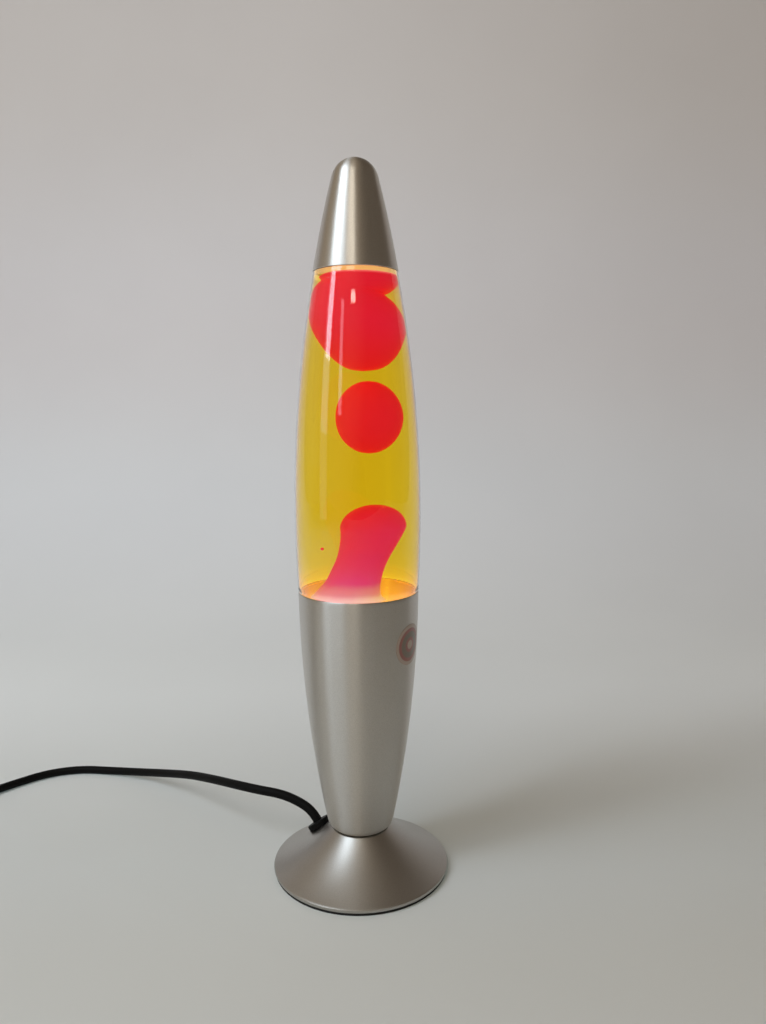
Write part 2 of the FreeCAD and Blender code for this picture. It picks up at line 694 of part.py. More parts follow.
def make_switch_terminals():
    """Brass clamps for the cut core, one each side of the rocker, and the core that passes by."""
    clamps = []
    for side in (-1, 1):
        block = Part.makeBox(7, 5, 4.5, V(8.5 * side - 3.5, -9.5, -7.4))
        bore = Part.makeCylinder(1.0, 9, V(8.5 * side - 4.5, -7.0, -5.2), V(1, 0, 0))
        screw = Part.makeCylinder(1.3, 2.0, V(8.5 * side, -7.0, -2.9))
        clamps.append(block.cut(bore).fuse(screw).removeSplitter())
    return in_switch(Part.makeCompound(clamps))


def make_switch_contact():
    """Spring strip that the rocker's nose presses to join the two clamps."""
    strip = Part.Face(Part.makePolygon([
        V(-11, 0, -2.4), V(-4, 0, -2.4), V(0, 0, 0.2), V(4, 0, -2.4), V(11, 0, -2.4), V(11, 0, -2.8),
        V(3.8, 0, -2.8), V(0, 0, -0.3), V(-3.8, 0, -2.8), V(-11, 0, -2.8), V(-11, 0, -2.4)]))
    bar = strip.extrude(V(0, 2.4, 0))
    bar.translate(V(0, -4.2, 0))
    return in_switch(bar)


def make_coil_solid():
    """Outer shape of the wound length: turns beside and on each other."""
    inner = coil_outer_r - coil_turn_steps * cord_d
    ring = washer(inner - cord_d / 2, coil_outer_r + cord_d / 2, tie_t, tie_t + coil_layers * cord_d)
    ring.translate(coil_centre)
    return ring


def make_tie():
    """Hook-and-loop strap round the coil's section."""
    inner = coil_outer_r - coil_turn_steps * cord_d - cord_d / 2
    outer = coil_outer_r + cord_d / 2
    height = coil_layers * cord_d
    strap_w = 12.0
    loop = Part.makeBox(outer - inner + 2 * tie_t, strap_w, height + 2 * tie_t,
                        V(inner - tie_t, -strap_w / 2, 0))
    loop = loop.makeFillet(1.4, [e for e in loop.Edges if abs(e.tangentAt(e.FirstParameter).y) > 0.9])
    loop.rotate(V(0, 0, 0), UP, 262)
    loop.translate(coil_centre)
    return loop.cut(make_coil_solid())


def make_tail():
    start = V(plug_x, coil_centre.y, tie_t + (coil_layers - 0.5) * cord_d)
    end = V(plug_x, 36.0, plug_z)
    return Part.makeCylinder(cord_d / 2, (end - start).Length, start, end - start)


plug_y = 36.0              # where the cord enters the plug
plug_body_y = plug_y + 20.0
plug_face_y = plug_body_y + 35.0


def make_plug_body():
    """Flat two-pin plug: hexagonal body with a waist and a ribbed, tapered tail."""
    half_w, half_t = 17.6, 6.85
    outline = [V(-7, plug_body_y, 0), V(7, plug_body_y, 0), V(half_w, plug_body_y + 11, 0),
               V(half_w - 1.2, plug_face_y, 0), V(-half_w + 1.2, plug_face_y, 0),
               V(-half_w, plug_body_y + 11, 0), V(-7, plug_body_y, 0)]
    body = Part.Face(Part.makePolygon(outline)).extrude(V(0, 0, 2 * half_t))
    body.translate(V(0, 0, -half_t))
    body = body.makeFillet(2.6, [e for e in body.Edges
                                 if abs(e.CenterOfMass.z) > half_t - 0.1 and e.CenterOfMass.y < plug_face_y - 1])
    tail = Part.makeCone(3.9, 6.0, plug_body_y - plug_y + 1.0, V(0, plug_y, 0), V(0, 1, 0))
    for i in range(4):
        at = plug_y + 3.5 + 4.0 * i
        collar = Part.makeCylinder(8, 1.4, V(0, at, 0), V(0, 1, 0))
        collar = collar.cut(Part.makeCylinder(3.7 + 0.1 * (at - plug_y), 1.4, V(0, at, 0), V(0, 1, 0)))
        tail = tail.cut(collar)
    solid = body.fuse(tail).removeSplitter()
    for side in (-1, 1):
        solid = solid.cut(Part.makeCylinder(2.0, 12, V(9.3 * side, plug_face_y - 11, 0), V(0, 1, 0)))
    solid.translate(V(plug_x, 0, plug_z))
    return solid


def make_plug_pins():
    pins = []
    for side in (-1, 1):
        at = V(plug_x + 9.3 * side, plug_face_y - 11, plug_z)
        pin = Part.makeCylinder(2.0, 30 - 1.2, at, V(0, 1, 0))
        tip = Part.makeCone(2.0, 1.0, 1.2, at + V(0, 28.8, 0), V(0, 1, 0))
        sleeve_neck = Part.makeCylinder(3, 10.1, at + V(0, 10.9, 0), V(0, 1, 0))
        sleeve_neck = sleeve_neck.cut(Part.makeCylinder(1.6, 10.1, at + V(0, 10.9, 0), V(0, 1, 0)))
        pins.append(pin.fuse(tip).cut(sleeve_neck).removeSplitter())
    return Part.makeCompound(pins)


def make_pin_sleeves():
    sleeves = []
    for side in (-1, 1):
        at = V(plug_x + 9.3 * side, plug_face_y, plug_z)
        outer = Part.makeCylinder(2.0, 10, at, V(0, 1, 0))
        sleeves.append(outer.cut(Part.makeCylinder(1.6, 10, at, V(0, 1, 0))))
    return Part.makeCompound(sleeves)


# ---------------------------------------------------------------- write the sub-parts
wax_column = make_wax_column()
wax_top = lofted(top_rings)
wax_bead = make_wax_bead()
wax_droplet = make_wax_droplet()

nodes = {
    "base_cone": make_cone(),
    "foot_flare": make_foot(),
    "foot_pad_ring": washer(foot_hem_r, foot_r - 0.7, 0, pad_h),
    "round_sticker": make_sticker(),
    "threaded_tube": make_threaded_tube(),
    "cover_nut": hex_nut(cover_z - nut_h, nut_h, thread_r),
    "ballast_nut": hex_nut(ballast_top_z, nut_h, thread_r),
    "foot_nut": hex_nut(foot_washer_z - nut_h, nut_h, thread_r),
    "cone_nut": hex_nut(foot_top_z + sheet, nut_h, thread_r),
    "foot_washer": washer(thread_r + 0.1, 9.0, foot_washer_z, foot_top_z - sheet),
    "base_cover": make_cover(),
    "ballast_disc": make_ballast(),
    "lampholder_base": make_holder_base(),
    "lampholder_insert": make_holder_insert(),
    "lampholder_contact": make_holder_contact(),
    "lampholder_shell": washer(shell_r, shell_r + 0.45, holder_top_z + 1, holder_top_z + 18),
    "lampholder_sleeve": make_holder_sleeve(),
    "terminal_screws": make_terminal_screws(),
    "lead_live": make_lead(1),
    "lead_neutral": make_lead(-1),
    "bulb_tip_contact": make_bulb_tip(),
    "bulb_insulator": make_bulb_insulator(),
    "bulb_screw_base": make_bulb_screw(),
    "bulb_glass": make_bulb_glass(),
    "bulb_reflector": make_bulb_reflector(),
    "bulb_stem": make_bulb_stem(),
    "bulb_supports": make_bulb_supports(),
    "bulb_filament": make_bulb_filament(),
    "glass_bottle": make_bottle(),
    "crown_cap": make_crown(),
    "crown_liner": disc(neck_r - 0.6, bottle_top_z, bottle_top_z + 1.0),
    "bottle_coil": make_coil(),
    "wax_column": wax_column,
    "wax_top": wax_top,
    "wax_bead": wax_bead,
    "wax_droplet": wax_droplet,
    "liquid": make_liquid([wax_column, wax_top, wax_bead, wax_droplet]),
    "top_cap": make_cap(),
    "strain_relief": make_bushing(),
    "cord_sheath_end": make_sheath_end(),
    "cord_lamp_side": cord_tube("cord_lamp_side", lamp_side_route, cord_d),
    "cord_coil_side": cord_tube("cord_coil_side", coil_side_route, cord_d),
    "cord_coil": make_coil_solid(),
    "cord_tie": make_tie(),
    "cord_tail": make_tail(),
    "switch_shell_bottom": make_switch_half(False),
    "switch_shell_top": make_switch_half(True),
    "switch_screws": make_switch_screws(),
    "switch_rocker": make_rocker(),
    "switch_rocker_pin": make_rocker_pin(),
    "switch_terminals": make_switch_terminals(),
    "switch_contact": make_switch_contact(),
    "plug_body": make_plug_body(),
    "plug_pins": make_plug_pins(),
    "plug_pin_sleeves": make_pin_sleeves(),
}

os.makedirs("parts", exist_ok=True)
for name, shape in nodes.items():
    if not shape.isValid() or not shape.Solids:
        print("CHECK", name, "valid", shape.isValid(), "solids", len(shape.Solids))
    shape.exportStep(f"parts/{name}.step")
print(len(nodes), "nodes written")
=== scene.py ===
import bmesh
import bpy
import math
from mathutils import Matrix, Vector


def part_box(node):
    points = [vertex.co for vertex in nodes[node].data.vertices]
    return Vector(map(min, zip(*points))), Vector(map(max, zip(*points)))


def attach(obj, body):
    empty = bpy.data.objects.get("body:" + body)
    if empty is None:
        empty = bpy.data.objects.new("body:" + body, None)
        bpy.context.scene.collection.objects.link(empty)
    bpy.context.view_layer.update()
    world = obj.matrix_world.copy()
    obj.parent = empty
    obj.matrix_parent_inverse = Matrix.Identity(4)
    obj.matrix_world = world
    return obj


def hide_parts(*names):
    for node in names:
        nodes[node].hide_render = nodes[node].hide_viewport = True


# The looks of the lava lamp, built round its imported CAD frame.  Metres, +Z up.

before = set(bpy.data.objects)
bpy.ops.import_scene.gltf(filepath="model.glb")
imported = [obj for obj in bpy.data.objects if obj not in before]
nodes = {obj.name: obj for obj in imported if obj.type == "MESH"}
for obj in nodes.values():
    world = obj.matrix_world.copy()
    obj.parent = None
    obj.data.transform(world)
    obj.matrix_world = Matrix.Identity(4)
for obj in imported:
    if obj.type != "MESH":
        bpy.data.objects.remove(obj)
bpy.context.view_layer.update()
MM = 0.001


# ---------------------------------------------------------------- sizes read from the frame
def low(node):
    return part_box(node)[0]


def high(node):
    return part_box(node)[1]


cone_rim_r, cone_rim_z = high("base_cone")[0], high("base_cone")[2]
cone_floor_z = low("base_cone")[2]
foot_r = high("foot_flare")[0]
foot_low_z, foot_top_z = low("foot_flare")[2], high("foot_flare")[2]
cap_rim_r = high("top_cap")[0]
cap_rim_z, cap_top_z = low("top_cap")[2], high("top_cap")[2]
bottle_low_z, bottle_top_z = low("glass_bottle")[2], high("glass_bottle")[2]
fill_z = high("liquid")[2]

# ---------------------------------------------------------------- sizes that a node's box doesn't give
sheet = 0.8 * MM                # thickness of the spun metal
edge_r = sheet / 2              # rounding of a rim's cut edge
tube_hole_r = 5.1 * MM          # holes for the threaded tube, in the cone's floor and the foot

cone_floor_r = 13.4 * MM
cone_corner_r = 6.1 * MM
cone_lean = 11.7                # degrees from upright at the foot of the cone's side
cone_bulge = 3.3 * MM

foot_seat_r = 17.0 * MM
foot_dip = 1.8 * MM             # how far the slope sags inside a straight line
foot_hem_r = 46.0 * MM

cap_tip_r = 13.0 * MM
cap_lean = 12.0                 # degrees from upright at the top of the cap's side
cap_bulge = 0.5 * MM

ledge_z = cap_rim_z - 0.1 * MM  # the step that the cap's rim sits on
ledge_r = cap_rim_r - 0.2 * MM
bottle_bulge = 5.3 * MM
heel_r = 5.2 * MM               # rounding of the bottle's bottom edge
heel_flat_r = 25.0 * MM
neck_r = 12.6 * MM
neck_wall = 2.6 * MM
neck_bulge = 2.6 * MM
lip_r = neck_r + 0.5 * MM
seen_wall = 0.45 * MM           # glass wall, drawn thinner than it is so that its rim stays clear
shoulder_in = (cone_rim_r - sheet - 0.45 * MM, cone_rim_z - 0.9 * MM)
shoulder_out = (cone_rim_r, cone_rim_z + 0.9 * MM)

wax_gap = 0.35 * MM             # gap kept between wax and glass
cord_d = 5.5 * MM


# ---------------------------------------------------------------- mesh helpers
def link(name, mesh):
    piece = bpy.data.objects.new(name, mesh)
    bpy.context.scene.collection.objects.link(piece)
    return piece


def bow(a, b, sagitta, steps=48):
    """Points of the parabola from a to b, (r, z), bowed out from the axis by sagitta; a is left out."""
    run, rise = b[0] - a[0], b[1] - a[1]
    length = math.hypot(run, rise)
    side = (abs(rise) / length, -run / length * math.copysign(1, rise))
    out = []
    for i in range(1, steps + 1):
        t = i / steps
        lift = 4 * sagitta * t * (1 - t)
        out.append((a[0] + run * t + side[0] * lift, a[1] + rise * t + side[1] * lift))
    return out


def sweep(centre, radius, start, end, steps=10):
    """Points of a circular arc about centre, angles in degrees from +r towards +z."""
    angles = [math.radians(start + (end - start) * i / steps) for i in range(steps + 1)]
    return [(centre[0] + radius * math.cos(a), centre[1] + radius * math.sin(a)) for a in angles]


def grid_faces(rows, columns):
    """Quads of a grid of vertices whose columns close on themselves."""
    faces = []
    for i in range(rows - 1):
        for j in range(columns):
            k = (j + 1) % columns
            faces.append((i * columns + j, i * columns + k, (i + 1) * columns + k, (i + 1) * columns + j))
    return faces


def lathe(name, outline, segments=192, closed=False):
    """Surface of revolution about Z.  closed joins the outline's end to its start."""
    verts, rows = [], len(outline)
    least_r = 1e-6
    for r, z in outline:
        for j in range(segments):
            a = 2 * math.pi * j / segments
            verts.append((max(r, least_r) * math.cos(a), max(r, least_r) * math.sin(a), z))
    faces = grid_faces(rows, segments)
    if closed:
        last = (rows - 1) * segments
        faces += [(last + j, last + (j + 1) % segments, (j + 1) % segments, j) for j in range(segments)]
    mesh = bpy.data.meshes.new(name)
    mesh.from_pydata(verts, [], faces)
    return finish_mesh(name, mesh)


def finish_mesh(name, mesh, sharp=32):
    """Welds doubled points, turns the faces outward and smooths all edges under sharp degrees."""
    bm = bmesh.new()
    bm.from_mesh(mesh)
    bmesh.ops.remove_doubles(bm, verts=bm.verts, dist=2e-6)
    bmesh.ops.recalc_face_normals(bm, faces=bm.faces)
    bm.to_mesh(mesh)
    bm.free()
    for polygon in mesh.polygons:
        polygon.use_smooth = True
    mesh.set_sharp_from_angle(angle=math.radians(sharp))
    return link(name, mesh)


# ---------------------------------------------------------------- material helpers
class Shader:
    """A material with one Principled shader, and short calls for the nodes round it."""

    def __init__(self, name, **values):
        self.material = bpy.data.materials.new(name)
        self.material.use_nodes = True
        self.tree = self.material.node_tree
        self.main = next(n for n in self.tree.nodes if n.type == "BSDF_PRINCIPLED")
        self.output = next(n for n in self.tree.nodes if n.type == "OUTPUT_MATERIAL")
        for key, value in values.items():
            socket = self.main.inputs[key.replace("_", " ")]
            if hasattr(socket.default_value, "__len__") and len(value) == 3:
                value = (*value, 1)
            socket.default_value = value

    def node(self, kind, **values):
        made = self.tree.nodes.new(kind)
        for key, value in values.items():
            if hasattr(made, key):
                setattr(made, key, value)
            else:
                made.inputs[key.replace("_", " ")].default_value = value
        return made

    def join(self, source, target):
        self.tree.links.new(source, target)

    def place(self):
        return self.node("ShaderNodeTexCoord").outputs["Object"]

    def noise(self, scale, detail=3.0, roughness=0.5, vector=None):
        made = self.node("ShaderNodeTexNoise", Scale=scale, Detail=detail, Roughness=roughness)
        self.join(vector or self.place(), made.inputs["Vector"])
        return made.outputs["Fac"]

    def ramp(self, factor, stops):
        """Colours by position, [(position, (r, g, b))], blended smoothly."""
        made = self.node("ShaderNodeValToRGB")
        elements = made.color_ramp.elements
        while len(elements) < len(stops):
            elements.new(0.5)
        for element, (position, colour) in zip(elements, stops):
            element.position = position
            element.color = (*colour, 1)
        made.color_ramp.interpolation = "EASE"
        self.join(factor, made.inputs["Fac"])
        return made.outputs["Color"]

    def span(self, factor, low_value, high_value, low_in=0.0, high_in=1.0):
        made = self.node("ShaderNodeMapRange")
        for key, value in (("From Min", low_in), ("From Max", high_in),
                           ("To Min", low_value), ("To Max", high_value)):
            made.inputs[key].default_value = value
        self.join(factor, made.inputs["Value"])
        return made.outputs["Result"]

    def blend(self, factor, first, second):
        """first where factor is 0, second where it is 1."""
        made = self.node("ShaderNodeMix", data_type="RGBA")
        self.join(factor, made.inputs["Factor"])
        for source, target in zip((first, second), [i for i in made.inputs if i.type == "RGBA"]):
            if hasattr(source, "default_value"):
                self.join(source, target)
            else:
                target.default_value = (*source, 1)
        return next(o for o in made.outputs if o.type == "RGBA")

    def bump(self, height, strength, distance):
        made = self.node("ShaderNodeBump", Strength=strength, Distance=distance)
        self.join(height, made.inputs["Height"])
        self.join(made.outputs["Normal"], self.main.inputs["Normal"])

    def to(self, name, source):
        self.join(source, self.main.inputs[name])


def shade(colour, factor):
    return tuple(min(1.0, c * factor) for c in colour)


def spun_metal(name, stretch, painted_shade_factor=1.0):
    """Satin silver lacquer: fine metallic grain with faint turning marks under it.  Its last argument
    darkens the lacquer's colour as painted shade.
    """
    base = shade((0.655, 0.630, 0.590), painted_shade_factor)
    s = Shader(name, Metallic=1.0, Anisotropic=stretch, Anisotropic_Rotation=0.25)
    around = s.node("ShaderNodeTangent", direction_type="RADIAL", axis="Z")
    s.join(around.outputs["Tangent"], s.main.inputs["Tangent"])
    grain = s.noise(2600, 4, 0.7)
    cloud = s.noise(38, 3)
    s.to("Base Color", s.ramp(grain, [(0.30, shade(base, 0.84)), (0.52, base), (0.74, shade(base, 1.14))]))
    s.to("Roughness", s.span(cloud, 0.35, 0.41))
    flattened = s.node("ShaderNodeMapping")
    flattened.inputs["Scale"].default_value = (18, 18, 3600)
    s.join(s.place(), flattened.inputs["Vector"])
    turning = s.noise(1.0, 2, 0.5, flattened.outputs["Vector"])
    both = s.node("ShaderNodeMath", operation="ADD")
    s.join(grain, both.inputs[0])
    s.join(turning, both.inputs[1])
    s.bump(both.outputs[0], 0.10, 0.00004)
    return s.material


def clear_glass():
    """Nearly colourless bottle glass, faintly uneven."""
    s = Shader("bottle_glass", Base_Color=(1.0, 0.985, 0.96), Transmission_Weight=1.0, IOR=1.46,
               Specular_IOR_Level=0.6)
    s.to("Roughness", s.span(s.noise(60, 2), 0.0, 0.02, 0.3, 0.8))
    s.bump(s.noise(22, 1), 0.05, 0.0004)
    return s.material


def lit_liquid():
    """Clear yellow liquid, deeper in colour where it is thicker, with a painted glow low down in place of
    the bulb's light and a painted glow under the cap.
    """
    s = Shader("yellow_liquid", Base_Color=(1.0, 1.0, 1.0), Transmission_Weight=1.0, IOR=1.0, Roughness=0.0,
               Specular_IOR_Level=0.0, Emission_Strength=1.0)
    depth = s.node("ShaderNodeVolumeAbsorption", Color=(1.0, 0.957, 0.0, 1.0), Density=85.0)
    s.join(depth.outputs["Volume"], s.output.inputs["Volume"])
    height = s.node("ShaderNodeSeparateXYZ")
    s.join(s.place(), height.inputs[0])
    glow_low_z, glow_high_z = cone_rim_z - 16 * MM, cone_rim_z + 24 * MM
    along = s.span(height.outputs["Z"], 0, 1, glow_low_z, glow_high_z)
    # Painted light: a warm glow near the bulb that fades upwards.
    glow = [(0.0, (0.42, 0.20, 0.14)), (0.40, (0.36, 0.15, 0.09)), (0.52, (0.16, 0.045, 0.012)),
            (0.66, (0.085, 0.020, 0.0)), (1.0, (0.055, 0.005, 0.0))]
    low_glow = s.ramp(along, glow)
    # Painted glow in a thin band just under the cap's rim.
    under_cap = (0.28, 0.18, 0.13)
    at_top = s.span(height.outputs["Z"], 0, 1, cap_rim_z - 3.6 * MM, cap_rim_z - 2.4 * MM)
    s.to("Emission Color", s.blend(at_top, low_glow, under_cap))
    return s.material


def molten_wax():
    """Red wax with a painted glow in place of the bulb's light: cream where the bulb is close, then magenta,
    then plain red.
    """
    s = Shader("wax", Roughness=0.45, Specular_IOR_Level=0.05, Emission_Strength=1.0)
    height = s.node("ShaderNodeSeparateXYZ")
    s.join(s.place(), height.inputs[0])
    unevenness, low_z, high_z = 4 * MM, 150 * MM, 350 * MM
    lifted = s.node("ShaderNodeMath", operation="MULTIPLY_ADD")
    lifted.inputs[1].default_value = unevenness
    s.join(s.noise(70, 2), lifted.inputs[0])
    s.join(height.outputs["Z"], lifted.inputs[2])
    along = s.span(lifted.outputs[0], 0, 1, low_z, high_z)
    # Painted light: the wax glows as if lit by the bulb, cream and magenta low down and its own red higher
    # up.
    painted_bulb_glow = [(0.0, (0.50, 0.44, 0.66)), (0.085, (0.50, 0.38, 0.60)), (0.106, (0.50, 0.14, 0.40)),
               (0.128, (0.52, 0.004, 0.44)), (0.18, (0.55, 0.002, 0.34)), (0.23, (0.57, 0.002, 0.24)),
               (0.30, (0.58, 0.002, 0.13)), (0.40, (0.59, 0.001, 0.040)), (1.0, (0.60, 0.001, 0.022))]
    s.to("Emission Color", s.ramp(along, painted_bulb_glow))
    # Base colour, paler low down as painted light from the bulb, red above.
    body = [(0.0, (0.30, 0.22, 0.16)), (0.14, (0.28, 0.006, 0.02)), (1.0, (0.28, 0.004, 0.007))]
    s.to("Base Color", s.ramp(along, body))
    return s.material


def moulded(name, colour, rough, grain=900, depth=0.00003, strength=0.25, **values):
    """Moulded plastic or rubber with a fine surface texture and slight wear in its gloss."""
    s = Shader(name, **values)
    fine = s.noise(grain, 3, 0.6)
    cloud = s.noise(45, 2)
    s.to("Base Color", s.ramp(fine, [(0.3, shade(colour, 0.78)), (0.7, shade(colour, 1.25))]))
    s.to("Roughness", s.span(cloud, rough - 0.07, rough + 0.07))
    s.bump(fine, strength, depth)
    return s.material


def metalwork(name, colour, rough, grain=1400, **values):
    """Plated or bare metal with grain and uneven gloss."""
    s = Shader(name, Metallic=1.0, **values)
    fine = s.noise(grain, 3, 0.6)
    s.to("Base Color", s.ramp(fine, [(0.3, shade(colour, 0.82)), (0.7, shade(colour, 1.12))]))
    s.to("Roughness", s.span(s.noise(120, 2), rough - 0.06, rough + 0.08))
    s.bump(fine, 0.12, 0.00003)
    return s.material


def thin_glass(name, colour, rough, glow=0.0):
    """Glass of the bulb; glow is the strength of its own warm light."""
    s = Shader(name, Base_Color=colour, Transmission_Weight=1.0, IOR=1.46,
               Emission_Color=(1.0, 0.72, 0.40), Emission_Strength=glow)
    s.to("Roughness", s.span(s.noise(90, 2), rough, rough + 0.05))
    return s.material


def sticker_film():
    """Round film printed with plain rings of dull red and pale brown."""
    centre = (Vector(low("round_sticker")) + Vector(high("round_sticker"))) / 2
    s = Shader("sticker_film", Coat_Weight=0.4)
    offset = s.node("ShaderNodeVectorMath", operation="DISTANCE")
    offset.inputs[1].default_value = centre
    s.join(s.place(), offset.inputs[0])
    across = s.span(offset.outputs["Value"], 0, 1, 0, 12 * MM)
    film, pale, red = (0.20, 0.16, 0.12), (0.48, 0.38, 0.32), (0.34, 0.12, 0.10)
    rings = [(0.0, red), (0.10, red), (0.15, pale), (0.24, pale), (0.30, red), (0.36, red), (0.42, film),
             (0.62, film), (0.67, red), (0.78, red), (0.83, pale), (0.95, pale), (1.0, film)]
    s.to("Base Color", s.ramp(across, rings))
    s.to("Roughness", s.span(s.noise(300, 2), 0.25, 0.4))
    return s.material


# ---------------------------------------------------------------- camera
def make_camera():
    """Stands in front, a little above the lamp's middle, and looks slightly down."""
    place = Vector((14.1, -445.3, 267.7)) * MM
    pitch, roll = math.radians(7.34), math.radians(-0.30)
    forward = Vector((0, math.cos(pitch), -math.sin(pitch)))
    level = Vector((1, 0, 0))
    upright = level.cross(forward)
    right = level * math.cos(roll) + upright * math.sin(roll)
    up = right.cross(forward)
    data = bpy.data.cameras.new("camera")
    data.lens = 28.125
    data.sensor_width = 36
    data.clip_start = 0.01
    camera = bpy.data.objects.new("camera", data)
    turn = Matrix((right, up, -forward)).transposed().to_4x4()
    camera.matrix_world = Matrix.Translation(place) @ turn
    bpy.context.scene.collection.objects.link(camera)
    bpy.context.scene.camera = camera


# ---------------------------------------------------------------- cord
# Points chosen along the CAD's tubes, a few millimetres lower where the cord arches.
cord_exit = Vector((-26.761, 15.450, 18.587)) * MM
exit_axis = Vector((-0.5054, 0.2918, 0.8120))
exit_rise = 6.5 * MM            # how far the cord keeps to the bushing's axis
lamp_side = [(-39.4, 21.4, 28.3), (-50.2, 24.0, 31.6), (-63.6, 27.4, 32.4), (-79.5, 36.5, 31.4),
             (-97.5, 53.0, 27.2), (-117.5, 73.5, 20.6), (-139.0, 93.0, 12.6), (-162.0, 109.0, 6.0),
             (-187.0, 118.5, 2.75), (-212.0, 121.5, 2.75), (-234.0, 114.5, 2.75), (-251.0, 98.5, 2.75),
             (-263.5, 83.0, 3.4), (-274.5, 69.6, 7.2), (-286.0, 55.5, 9.0)]
coil_side = [(-322.9, 10.8, 9.0), (-331.5, 0.4, 8.0), (-340.5, -10.5, 4.9)]
coil_middle = Vector((-380.5, -0.5, 0)) * MM
coil_outer, coil_inner = 37.3 * MM, 22.5 * MM
coil_start, coil_turns = 320.3, 5.39    # degrees, and number of turns
coil_low, coil_high = 3.75 * MM, 9.25 * MM
tail = [(-417.8, 14.0, 8.6), (-417.8, 27.0, 7.3), (-417.8, 40.0, 6.9)]


def coil_points():
    """Two layers of turns, spiralling in below and out above, clockwise from above."""
    per_turn = 24
    count = round(coil_turns * per_turn)
    step = math.radians(coil_turns * 360 / count)
    grow = 2 / (1 + math.cos(step))     # a spline runs a little inside its points
    points = []
    for i in range(count + 1):
        t = i / count
        inward = 1 - abs(2 * t - 1)
        radius = coil_outer + (coil_inner - coil_outer) * inward
        climb = min(1, max(0, (t - 0.5) * coil_turns / 0.5 + 0.5))
        z = coil_low + (coil_high - coil_low) * climb * climb * (3 - 2 * climb)
        a = math.radians(coil_start) - i * step
        outward = Vector((math.cos(a), math.sin(a), 0))
        points.append(coil_middle + outward * radius * grow + Vector((0, 0, z)))
    return points


def make_cord(material):
    """One run of cord, from the bushing through the switch and the coil to the plug."""
    points = [cord_exit, cord_exit + exit_axis * exit_rise]
    points += [Vector(p) * MM for p in lamp_side + coil_side]
    points += coil_points()
    points += [Vector(p) * MM for p in tail]
    data = bpy.data.curves.new("power_cord", "CURVE")
    data.dimensions = "3D"
    data.resolution_u = 8
    data.bevel_depth = cord_d / 2
    data.bevel_resolution = 6
    data.use_fill_caps = True
    spline = data.splines.new("NURBS")
    spline.points.add(len(points) - 1)
    for slot, point in zip(spline.points, points):
        slot.co = (*point, 1)
    spline.order_u = 3
    spline.use_endpoint_u = True
    data.materials.append(material)
    cord = bpy.data.objects.new("power_cord", data)
    bpy.context.scene.collection.objects.link(cord)
    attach(cord, "base")
    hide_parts("cord_lamp_side", "cord_coil_side", "cord_coil", "cord_tail", "cord_sheath_end")


# ---------------------------------------------------------------- metal shells
def wear(piece, material, body, node):
    """Gives a piece its material, hangs it on the body that moves it and hides the node that it stands for.
    """
    piece.data.materials.append(material)
    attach(piece, body)
    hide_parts(node)


def make_cone(material):
    """Cone: rounded floor, bowed side, and a rim with its cut edge eased."""
    corner = (cone_floor_r, cone_floor_z + cone_corner_r)
    out_corner = sweep(corner, cone_corner_r, -90, -cone_lean, 14)
    in_corner = sweep(corner, cone_corner_r - sheet, -cone_lean, -90)
    rim_out = (cone_rim_r, cone_rim_z - 0.3 * MM)
    rim_in = (cone_rim_r - sheet, cone_rim_z - 0.3 * MM)
    edge = sweep((cone_rim_r - edge_r, cone_rim_z - 0.35 * MM), edge_r, 0, 180, 8)
    outline = [(tube_hole_r, cone_floor_z)] + out_corner
    outline += bow(out_corner[-1], rim_out, cone_bulge, 72) + edge[1:-1] + [rim_in]
    outline += bow(rim_in, in_corner[0], cone_bulge, 40) + in_corner[1:]
    outline += [(tube_hole_r, cone_floor_z + sheet)]
    wear(lathe("cone_shell", outline, closed=True), material, "base", "base_cone")


def make_foot(material):
    """Foot: flat seat under the cone, a sagging slope, a rolled edge and a hem turned in under it."""
    slope_top = (foot_seat_r, foot_top_z - 0.1 * MM)
    slope_end = (foot_r - 0.5 * MM, foot_low_z + 2.0 * MM)
    roll = [(foot_r - 0.16 * MM, foot_low_z + 1.75 * MM), (foot_r, foot_low_z + 1.2 * MM),
            (foot_r - 0.02 * MM, foot_low_z + 0.6 * MM), (foot_r - 0.2 * MM, foot_low_z + 0.15 * MM),
            (foot_r - 0.5 * MM, foot_low_z)]
    in_end = (foot_r - 1.5 * MM, foot_low_z + 1.7 * MM)
    in_seat = (foot_seat_r - 0.4 * MM, foot_top_z - sheet)
    outline = [(tube_hole_r, foot_top_z), (foot_seat_r - 0.6 * MM, foot_top_z), slope_top]
    outline += bow(slope_top, slope_end, -foot_dip, 48) + roll
    outline += [(foot_hem_r, foot_low_z), (foot_hem_r, foot_low_z + sheet)]
    outline += [(foot_r - 1.5 * MM, foot_low_z + sheet), in_end]
    outline += bow(in_end, in_seat, -foot_dip, 32) + [(tube_hole_r, foot_top_z - sheet)]
    wear(lathe("foot_shell", outline, closed=True), material, "base", "foot_flare")


def cap_lines(inset, steps):
    """The cap's outline from its tip to its rim, set in by inset."""
    tip = (0, cap_top_z - cap_tip_r)
    top_down = sweep(tip, cap_tip_r - inset, 90, cap_lean, 18)
    rim = (cap_rim_r - inset, cap_rim_z + 0.3 * MM)
    return top_down + bow(top_down[-1], rim, cap_bulge, steps)


def make_cap(material):
    """Cap: round tip, nearly straight side and an eased rim."""
    edge = sweep((cap_rim_r - edge_r, cap_rim_z + edge_r), edge_r, 0, -180, 8)
    outline = cap_lines(0, 40) + edge[1:-1] + list(reversed(cap_lines(sheet, 24)))
    wear(lathe("cap_shell", outline), material, "cap", "top_cap")


# ---------------------------------------------------------------- bottle and liquid
ledge_out = (ledge_r, ledge_z - 0.5 * MM)


